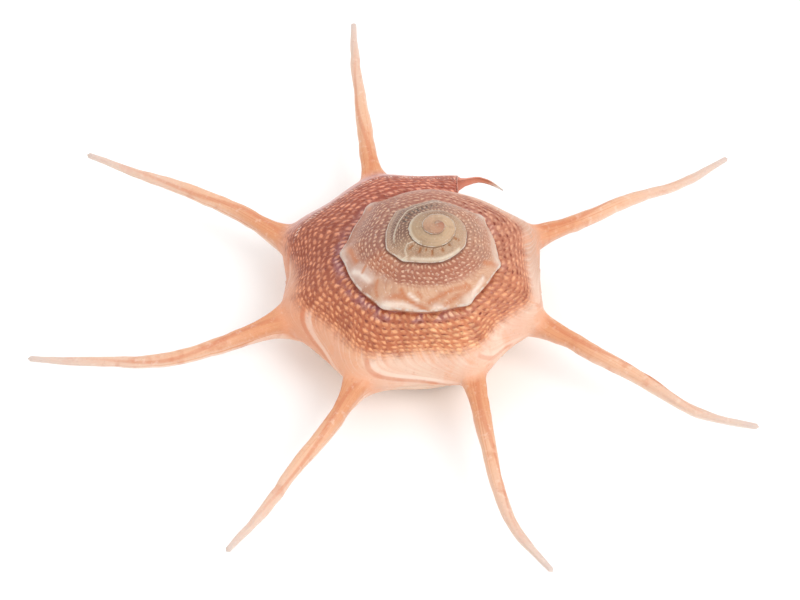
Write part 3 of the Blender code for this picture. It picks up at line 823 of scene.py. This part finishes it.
def makeShell():
    skin = Skin()
    columns = growCoil(skin)
    windows = {name: windowAt(spineTurns[name]) for name in spines}
    cells = set().union(*(window[4] for window in windows.values()))
    coverCoil(skin, columns, cells)
    print("coil", skin.count, "vertices")
    for name, (azimuths, reach, tipHeight) in spines.items():
        growSpine(skin, outlineOf(columns, *windows[name][:4]), azimuths, reach, tipHeight)
    growMouth(skin, columns)
    growCallus(skin, columns)
    print("spines and mouth", skin.count, "vertices")
    spots, facts = np.concatenate(skin.spots), np.concatenate(skin.facts)
    rows = cornersOf(skin.faces)
    used = np.zeros(len(spots), bool)
    used[rows.ravel()] = True
    renumber = np.cumsum(used) - 1
    rows = renumber[rows]
    faces = [[int(renumber[v]) for v in corners] for corners in skin.faces]
    spots, facts = spots[used], facts[used]
    turn, across, run = facts[:, 0], facts[:, 1], facts[:, 2]
    nearRoot = bump(turn, rootTurns, spineForm["easedWidth"]) * ease((across - 0.72) / 0.16)
    nearRoot = nearRoot * ease((1.45 - across) / 0.2) * ease((0.22 - run) / 0.12)
    weight = 0.5 * nearRoot * (facts[:, 3] == 0) * (turn > -1)
    weight[weight < 0.01] = 0
    spots = relax(spots, rows, weight, spineForm["easedPasses"])
    marks = marksOf(facts)
    normals = normalsOf(spots, rows)
    volume = np.sum(np.einsum("ij,ij->i", spots[rows[:, 0]], np.cross(spots[rows[:, 1]], spots[rows[:, 2]])))
    if volume < 0:
        normals = -normals
        faces = [corners[::-1] for corners in faces]
    spots = spots + normals * reliefOf(marks)[:, None]
    spots[:, 2] = np.maximum(spots[:, 2], 0.0)
    mesh = bpy.data.meshes.new("shellSurface")
    mesh.from_pydata((spots * mm).tolist(), [], faces)
    for name, values in marks.items():
        attribute = mesh.attributes.new(name, "FLOAT", "POINT")
        attribute.data.foreach_set("value", values.astype(np.float32))
    mesh.shade_smooth()
    mesh.update()
    shell = bpy.data.objects.new("shellSurface", mesh)
    bpy.context.scene.collection.objects.link(shell)
    mesh.calc_loop_triangles()
    print("shell surface", len(mesh.loop_triangles), "triangles")
    return shell


class Wire:  # a socket that takes part in sums

    def __init__(self, nodes, socket):
        self.nodes, self.socket = nodes, socket

    def __add__(self, other):
        return self.nodes.sum("ADD", self, other)

    def __sub__(self, other):
        return self.nodes.sum("SUBTRACT", self, other)

    def __rsub__(self, other):
        return self.nodes.sum("SUBTRACT", other, self)

    def __mul__(self, other):
        return self.nodes.sum("MULTIPLY", self, other)

    __radd__ = __add__
    __rmul__ = __mul__


class Nodes:

    def __init__(self, material):
        material.use_nodes = True
        self.tree = material.node_tree
        self.shader = self.tree.nodes["Principled BSDF"]

    def add(self, kind, settings, sockets):  # settings first, then each socket's value or link
        node = self.tree.nodes.new(kind)
        for name, value in settings.items():
            setattr(node, name, value)
        for name, value in sockets.items():
            self.feed(node.inputs[name], value)
        return node

    def feed(self, socket, value):
        if isinstance(value, Wire):
            self.tree.links.new(value.socket, socket)
        else:
            socket.default_value = value

    def out(self, node, name=0):
        return Wire(self, node.outputs[name])

    def sum(self, operation, a, b):
        return self.out(self.add("ShaderNodeMath", {"operation": operation}, {0: a, 1: b}))

    def sine(self, value):
        return self.sum("SINE", value, 0.0)

    def floor(self, value):
        return self.sum("FLOOR", value, 0.0)

    def mark(self, name):
        return self.out(self.add("ShaderNodeAttribute", {"attribute_name": name}, {}), "Fac")

    def rise(self, value, low, high):  # 0 below low, 1 above high, smooth between
        settings = {"interpolation_type": "SMOOTHSTEP"}
        sockets = {"Value": value, "From Min": low, "From Max": high}
        return self.out(self.add("ShaderNodeMapRange", settings, sockets), "Result")

    def fall(self, value, low, high):
        return 1 - self.rise(value, low, high)

    def blend(self, a, b, share):
        return self.out(self.add("ShaderNodeMix", {"data_type": "RGBA"}, {0: share, 6: a, 7: b}), 2)

    def chart(self, value, stops):  # the colour at each stop, smooth between
        colour = stops[0][1]
        for (before, _), (at, following) in zip(stops, stops[1:]):
            colour = self.blend(colour, following, self.rise(value, before, at))
        return colour

    def noise(self, where, scale, detail=3.0, rough=0.5):
        sockets = {"Vector": where, "Scale": scale, "Detail": detail, "Roughness": rough}
        return self.out(self.add("ShaderNodeTexNoise", {}, sockets), "Fac")

    def lines(self, along, scale, detail=3.0):
        sockets = {"W": along, "Scale": scale, "Detail": detail}
        return self.out(self.add("ShaderNodeTexNoise", {"noise_dimensions": "1D"}, sockets), "Fac")


def tint(red, green, blue):  # a screen colour from 0 to 255 as the shader's linear colour
    def linear(value):
        value /= 255
        return value / 12.92 if value <= 0.04045 else ((value + 0.055) / 1.055) ** 2.4
    return (linear(red), linear(green), linear(blue), 1.0)


shellLook = {
    # turn and colour, of the ground between the beads, of the beads and of the smooth band
    "ground": (
        (-1.00, tint(176, 116, 94)), (-0.84, tint(186, 118, 90)), (-0.68, tint(192, 116, 82)),
        (-0.58, tint(204, 124, 84)), (-0.44, tint(176, 96, 62)), (-0.25, tint(142, 68, 44)),
        (-0.08, tint(164, 80, 58)),
    ),
    "bead": (
        (-1.00, tint(218, 166, 142)), (-0.84, tint(226, 164, 130)), (-0.68, tint(230, 162, 118)),
        (-0.58, tint(246, 190, 140)), (-0.44, tint(238, 168, 120)), (-0.25, tint(222, 146, 110)),
        (-0.08, tint(238, 162, 132)),
    ),
    "band": (
        (-1.00, tint(216, 164, 134)), (-0.84, tint(200, 155, 131)), (-0.74, tint(222, 184, 161)),
        (-0.64, tint(236, 200, 178)), (-0.55, tint(228, 193, 170)), (-0.49, tint(228, 191, 168)),
        (-0.43, tint(226, 170, 136)), (-0.36, tint(214, 152, 120)), (-0.28, tint(206, 144, 114)),
        (-0.18, tint(220, 160, 132)), (-0.05, tint(216, 142, 118)),
    ),
    # a dark colour: painted shade on the suture side of the beads, and dark spots and specks
    "beadShadeAndSpecks": tint(128, 54, 36),
    # plum: the shell's own tone along the suture, with painted shade there
    "plumAndSutureShade": tint(132, 74, 82),
    "lilac": tint(226, 188, 186),
    "white": tint(248, 236, 224),
    "blush": tint(226, 166, 138),
    "foldBrown": tint(196, 104, 64),
    "web": tint(228, 154, 112),
    "spine": (
        (0.00, tint(216, 150, 108)), (0.12, tint(216, 150, 108)), (0.40, tint(227, 179, 146)),
        (0.70, tint(223, 186, 163)), (0.90, tint(217, 191, 176)), (1.00, tint(211, 191, 181)),
    ),
    "spineLine": tint(200, 112, 72),
    "oldGround": ((-2.00, tint(168, 124, 104)), (-1.78, tint(170, 126, 104)), (-1.62, tint(166, 104, 80)),
                  (-1.40, tint(160, 102, 80)), (-1.25, tint(146, 96, 80)), (-1.00, tint(166, 106, 86))),
    "oldBead": tint(222, 180, 152),
    "oldBand": ((-1.90, tint(202, 162, 138)), (-1.66, tint(210, 166, 136)), (-1.45, tint(210, 166, 136)),
                (-1.34, tint(176, 126, 104)), (-1.10, tint(172, 118, 96))),
    "rust": tint(192, 118, 76),
    "olive": ((-3.00, tint(150, 116, 92)), (-2.80, tint(178, 146, 118)), (-2.42, tint(176, 144, 116)),
              (-2.28, tint(122, 88, 72)), (-2.04, tint(130, 97, 80))),
    "oliveBead": tint(194, 160, 134),
    "pit": tint(84, 74, 66),
    "notch": tint(158, 100, 52),
    "oldRim": tint(224, 210, 188),
    "apex": ((-4.90, tint(172, 116, 92)), (-4.40, tint(186, 144, 116)), (-3.80, tint(196, 164, 132)),
             (-3.30, tint(176, 148, 118))),
    # dark brown for patches and rings near the apex, and for painted shade along the suture
    "darkPatchAndSutureShade": tint(118, 82, 64),
    "thread": tint(226, 216, 204),
    "base": tint(240, 216, 194),
    "baseTint": tint(226, 168, 132),
    "callus": tint(214, 162, 132),
    "lip": tint(214, 138, 116),
    "nacre": tint(226, 220, 212),
    # Patches to a metre, and lines to a turn
    "broad": 150.0,
    "patchy": 420.0,
    "blotch": 860.0,
    "fine": 1000.0,
    "grain": 2800.0,
    "stripes": 150.0,
    "hairlines": 620.0,
    "streaks": 480.0,
    "roughness": 0.42,
    "coat": 0.08,
    "coatRoughness": 0.25,
    "specular": 0.35,
    "glow": 0.10,  # how much light passes under the surface, and how far in m
    "glowReach": (0.0018, 0.0009, 0.0005),
    "bump": (0.4, 0.00014),  # strength, and height in m
}


def makeShellFinish():
    look = shellLook
    material = bpy.data.materials.new("beadedShell")
    n = Nodes(material)
    turn, across, run, lining = n.mark("turn"), n.mark("across"), n.mark("run"), n.mark("lining")
    line, beat, zone, plump = n.mark("line"), n.mark("beat"), n.mark("zone"), n.mark("plump")
    growth, fold, gap, web = n.mark("growth"), n.mark("fold"), n.mark("gap"), n.mark("web")
    rust, milk, pits, node = n.mark("rust"), n.mark("milk"), n.mark("pits"), n.mark("node")
    rim, around = n.mark("rim"), n.mark("around")
    where = n.out(n.add("ShaderNodeTexCoord", {}, {}), "Object")
    broad = n.noise(where, look["broad"])
    patchy = n.noise(where, look["patchy"])
    blotch = n.noise(where, look["blotch"], 2.0)
    fine = n.noise(where, look["fine"], 4.0, 0.6)
    grain = n.noise(where, look["grain"], 3.0, 0.6)
    stripes = n.lines(growth, look["stripes"])
    hairlines = n.lines(growth, look["hairlines"])
    streaks = n.lines(growth, look["streaks"], 2.0)
    last = n.rise(turn, -1.16, -0.94)

    # Each bead is pale, with painted shade in a dark curved mark on its suture side
    row, cell, u, v, knob = beadCell(n, line + 0.7 * (fine - 0.5), beat + 0.9 * (blotch - 0.5))
    knob = n.rise(knob, 0.95 - 0.95 * plump, 0.85)
    shifted = v + 0.34
    beadShadeAndSpecks = n.fall(6.0 * u * u + 18.0 * shifted * shifted, 0.0, 1.0)
    beadShadeAndSpecks = beadShadeAndSpecks * (0.45 + 0.55 * n.fall(blotch, 0.44, 0.56))
    uneven = 0.5 + 0.5 * n.sine(2.3 * cell + 5.1 * row)
    inRows = n.fall(zone + (0.5 - 0.2 * last) * (patchy - 0.5) + 0.2 * (stripes - 0.5), 0.78, 1.16)
    sutureRow = n.fall(line, 0.7, 1.7)

    # The last whorl
    ground = n.chart(turn, look["ground"])
    bead = n.chart(turn, look["bead"])
    # along the suture row the ground darkens to plum: partly the shell's own tone, partly painted shade under
    # the older whorl's keel
    mauve = n.rise(turn, -0.62, -0.52) * n.fall(turn, -0.30, -0.18) * 0.6 + 0.4
    ground = n.blend(ground, look["plumAndSutureShade"], sutureRow * mauve * n.rise(patchy, 0.40, 0.58) * 0.85)
    bead = n.blend(bead, look["lilac"], sutureRow * mauve * n.rise(patchy, 0.44, 0.58) * 0.55)
    bead = n.blend(bead, ground, 0.40 * uneven + 0.35 * n.fall(fine, 0.38, 0.52))
    body = n.blend(ground, bead, knob + 0.25 * n.rise(fine, 0.46, 0.60) + 0.35 * n.rise(zone, 0.7, 1.0))
    # painted shade on each bead's suture side, with its strength set by row
    dark = 0.70 + 0.30 * n.fall(row, 2.5, 4.0) * n.rise(row, 0.0, 1.0)
    body = n.blend(body, look["beadShadeAndSpecks"], beadShadeAndSpecks * dark * (0.50 + 0.50 * uneven))
    spots = n.fall(patchy, 0.38, 0.5) * 0.24 + n.fall(blotch, 0.34, 0.46) * 0.22
    body = n.blend(body, look["beadShadeAndSpecks"], spots)
    band = n.chart(turn, look["band"])
    soft = 0.4 + 0.6 * n.rise(patchy, 0.40, 0.60)
    band = n.blend(band, look["white"], n.rise(stripes, 0.50, 0.68) * 0.22 * soft)
    band = n.blend(band, look["blush"], n.fall(stripes, 0.34, 0.50) * 0.34 * soft)
    band = n.blend(band, look["white"], n.rise(hairlines, 0.50, 0.76) * 0.14)
    band = n.blend(band, look["blush"], n.rise(broad, 0.50, 0.66) * 0.40)
    band = n.blend(band, look["web"], n.rise(patchy, 0.52, 0.66) * 0.30)
    arc = n.fall(gap * gap, 0.0, 2.0) * fold * (0.45 + 0.9 * (patchy - 0.3))
    beside = n.fall((gap + 2.6) * (gap + 2.6), 0.2, 3.4) * fold
    band = n.blend(band, look["white"], beside * 0.40)
    whorl = n.blend(band, body, inRows)
    # Along the back a row of white dots, and a pale strip outside it
    dots = n.sine(beat * 17.0 + 7.0 * (blotch - 0.5))
    rimShare = n.fall(rim * rim, 0.0, 0.0006) * n.rise(turn, -0.27, -0.22)
    pearls = rimShare * n.rise(dots, -0.2, 0.6) * n.rise(fine, 0.38, 0.56)
    whorl = n.blend(whorl, look["white"], pearls * 0.65)
    pale = n.rise(rim, 0.01, 0.10) * n.rise(turn, -0.25, -0.20) * n.fall(turn, -0.10, -0.03)
    whorl = n.blend(whorl, look["lilac"], pale * (1 - web) * (0.55 + 0.6 * (stripes - 0.5)))
    whorl = n.blend(whorl, look["beadShadeAndSpecks"], rimShare * n.fall(dots, -0.7, -0.1) * 0.35)
    whorl = n.blend(whorl, look["web"], web * (0.65 + 0.5 * (stripes - 0.5)) * n.rise(zone, 0.9, 1.15))
    whorl = n.blend(whorl, look["foldBrown"], arc * 0.8)

    # The older whorls, greyer, with small pale beads, and the plain apex
    oldGround = n.chart(turn, look["oldGround"])
    old = n.blend(oldGround, look["rust"], n.rise(broad, 0.46, 0.64) * 0.35)
    old = n.blend(old, look["oldBead"], knob * (0.85 - 0.4 * uneven) + 0.25 * n.rise(fine, 0.50, 0.66))
    # painted shade on the suture side of the older beads
    old = n.blend(old, look["beadShadeAndSpecks"], beadShadeAndSpecks * 0.45)
    oldBand = n.blend(n.chart(turn, look["oldBand"]), look["rust"], n.fall(stripes, 0.38, 0.52) * 0.25)
    oldBand = n.blend(oldBand, look["white"], n.rise(hairlines, 0.52, 0.76) * 0.12 * soft)
    oldBand = n.blend(oldBand, oldGround, n.rise(patchy, 0.50, 0.64) * 0.35)
    oldBand = n.blend(oldBand, look["white"], n.rise(broad, 0.50, 0.62) * 0.25)
    old = n.blend(oldBand, old, inRows)
    old = n.blend(old, look["white"], milk * (0.55 + 0.5 * (fine - 0.3)))
    old = n.blend(old, look["rust"], rust * (0.75 + 0.6 * (fine - 0.3)))
    third = n.blend(n.chart(turn, look["olive"]), look["darkPatchAndSutureShade"], n.rise(patchy, 0.44, 0.62) * 0.35)
    third = n.blend(third, look["oliveBead"], knob * 0.8 + 0.5 * n.rise(zone, 0.9, 1.1))
    third = n.blend(third, look["oldRim"], milk * (0.55 + 0.8 * (fine - 0.3)))
    third = n.blend(third, n.blend(look["notch"], look["pit"], n.rise(turn, -2.36, -2.26)), pits * 0.9)
    apex = n.chart(turn, look["apex"])
    rings = n.fall(n.sine(across * 25.1), -0.8, 0.6) * 0.09
    apex = n.blend(apex, look["darkPatchAndSutureShade"], rings + n.rise(blotch, 0.50, 0.66) * 0.22)
    apex = n.blend(apex, look["oldRim"], milk * (0.6 + 0.8 * (fine - 0.3)))
    spire = n.blend(apex, third, n.rise(turn, -3.35, -2.95))
    spire = n.blend(spire, old, n.rise(turn, -2.12, -1.92))
    # painted shade along the suture, in the crease under the older whorl's keel
    darkPatchAndSutureShade = n.fall(across, 0.0, 0.07)
    spire = n.blend(spire, look["darkPatchAndSutureShade"], darkPatchAndSutureShade * 0.55)
    thread = n.rise(across, 0.945, 0.98) * n.rise(fine, 0.36, 0.56)
    spire = n.blend(spire, look["thread"], thread * 0.85)
    spire = n.blend(spire, look["thread"], node * 0.5)
    spire = n.blend(spire, look["thread"], n.rise(grain, 0.60, 0.72) * 0.35)
    colour = n.blend(spire, whorl, last)

    # The spines: orange, then peach, then pale, with a darker line along the top that is partly a streak and
    # partly painted shade, and painted light on the underside and sides
    spine = n.chart(run, look["spine"])
    spine = n.blend(spine, look["spineLine"], n.rise(streaks, 0.52, 0.70) * 0.45 * n.fall(run, 0.25, 0.7))
    # a darker line along the top: partly a streak, partly painted shade
    swing = n.sine(around - 0.35 + 0.5 * n.sine(run * 9.0))
    spine = n.blend(spine, look["spineLine"], n.rise(swing, 0.93, 1.0) * 0.45 * n.fall(run, 0.5, 0.95))
    # painted light: the underside and sides paler, as if lit from the pale floor below
    spine = n.blend(spine, look["white"], n.fall(n.sine(around), -0.5, 0.75) * 0.45)
    spine = n.blend(spine, look["spineLine"], n.rise(patchy, 0.54, 0.70) * 0.34 * n.fall(run, 0.6, 1.0))
    spine = n.blend(spine, look["white"], n.rise(fine, 0.54, 0.72) * 0.22)
    colour = n.blend(colour, spine, n.rise(run, 0.0, 0.06))

    # The base, the callus, the lip and the pearly inside
    under = n.blend(look["base"], look["baseTint"], n.fall(stripes, 0.40, 0.60) * 0.5)
    under = n.blend(under, look["baseTint"], n.rise(across, 1.55, 1.85) * 0.6)
    under = n.blend(under, look["web"], web * n.fall(across, 1.1, 1.4) * 0.6)
    under = n.blend(under, look["callus"], n.rise(across + 0.3 * (patchy - 0.5), 1.90, 2.20) * 0.9)
    colour = n.blend(colour, under, n.rise(across, 1.0, 1.14) * n.fall(run, 0.0, 0.06))
    lip = n.blend(look["lip"], look["white"], n.rise(run, 0.45, 0.9))
    colour = n.blend(colour, lip, n.rise(lining, 0.1, 0.4))
    colour = n.blend(colour, look["nacre"], n.rise(lining, 0.6, 0.95))
    colour = n.blend(colour, look["beadShadeAndSpecks"], n.fall(grain, 0.28, 0.40) * 0.16)
    colour = n.blend(colour, look["white"], n.rise(grain, 0.58, 0.74) * 0.14)
    n.feed(n.shader.inputs["Base Color"], colour)
    rough = look["roughness"] + 0.14 * (fine - 0.5) - 0.06 * knob * inRows - 0.14 * lining
    n.feed(n.shader.inputs["Roughness"], rough)
    constants = {
        "Coat Weight": look["coat"],
        "Coat Roughness": look["coatRoughness"],
        "Specular IOR Level": look["specular"],
        "Subsurface Weight": look["glow"],
        "Subsurface Radius": look["glowReach"],
        "Subsurface Scale": 1.0,
    }
    for name, value in constants.items():
        n.feed(n.shader.inputs[name], value)
    height = 0.5 * fine + 0.3 * grain + 0.35 * knob * inRows + 0.4 * hairlines * (1 - inRows)
    strength, distance = look["bump"]
    bumps = n.add("ShaderNodeBump", {}, {"Strength": strength, "Distance": distance, "Height": height})
    n.feed(n.shader.inputs["Normal"], n.out(bumps))
    print("finish", len(n.tree.nodes), "nodes")
    return material


shell = makeShell()
shell.data.materials.append(makeShellFinish())
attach(shell, "root")
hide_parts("shell")

studio = {
    "target": (-4.71, -1.90, 7.2),  # mm, what the camera looks at
    "elevation": 51.0,
    "distance": 600.0,
    "framed": 117.84,  # mm that the picture's width takes in at the target
    "floorTint": tint(252, 252, 252),
    "floorSize": 3.0,
    "sky": 1.0,
    "lamps": (  # name, azimuth, elevation, distance in m, size in m, watts
        ("key", 55.0, 48.0, 1.1, 0.6, 3.6),
        ("fill", 200.0, 60.0, 1.1, 1.2, 1.0),
    ),
}


def aimed(azimuth, elevation, distance, target):  # a place and turn that look at the target
    a, e = math.radians(azimuth), math.radians(elevation)
    back = Vector((math.sin(a) * math.cos(e), -math.cos(a) * math.cos(e), math.sin(e)))
    return target + back * distance, back.to_track_quat("Z", "Y").to_euler()


def makeStudio():
    scene = bpy.context.scene
    target = Vector(studio["target"]) * mm
    camera = bpy.data.cameras.new("camera")
    camera.sensor_width = 36.0
    camera.lens = camera.sensor_width * studio["distance"] / studio["framed"]
    camera.clip_start = 0.01
    eye = bpy.data.objects.new("camera", camera)
    eye.location, eye.rotation_euler = aimed(0.0, studio["elevation"], studio["distance"] * mm, target)
    scene.collection.objects.link(eye)
    scene.camera = eye
    scene.view_settings.view_transform = "Standard"
    for name, azimuth, elevation, distance, size, watts in studio["lamps"]:
        lamp = bpy.data.lights.new(name, "AREA")
        lamp.energy, lamp.size, lamp.shape = watts, size, "DISK"
        holder = bpy.data.objects.new(name, lamp)
        holder.location, holder.rotation_euler = aimed(azimuth, elevation, distance, target)
        scene.collection.objects.link(holder)
    world = bpy.data.worlds.new("softbox")
    world.use_nodes = True
    world.node_tree.nodes["Background"].inputs["Color"].default_value = (1.0, 1.0, 1.0, 1.0)
    world.node_tree.nodes["Background"].inputs["Strength"].default_value = studio["sky"]
    scene.world = world
    half = studio["floorSize"] / 2
    mesh = bpy.data.meshes.new("floor")
    corners = [(-half, -half, 0), (half, -half, 0), (half, half, 0), (-half, half, 0)]
    mesh.from_pydata(corners, [], [(0, 1, 2, 3)])
    floor = bpy.data.objects.new("floor", mesh)
    finish = bpy.data.materials.new("paleFloor")
    nodes = Nodes(finish)
    nodes.shader.inputs["Base Color"].default_value = studio["floorTint"]
    nodes.shader.inputs["Roughness"].default_value = 0.9
    mesh.materials.append(finish)
    scene.collection.objects.link(floor)


makeStudio()
print("studio")
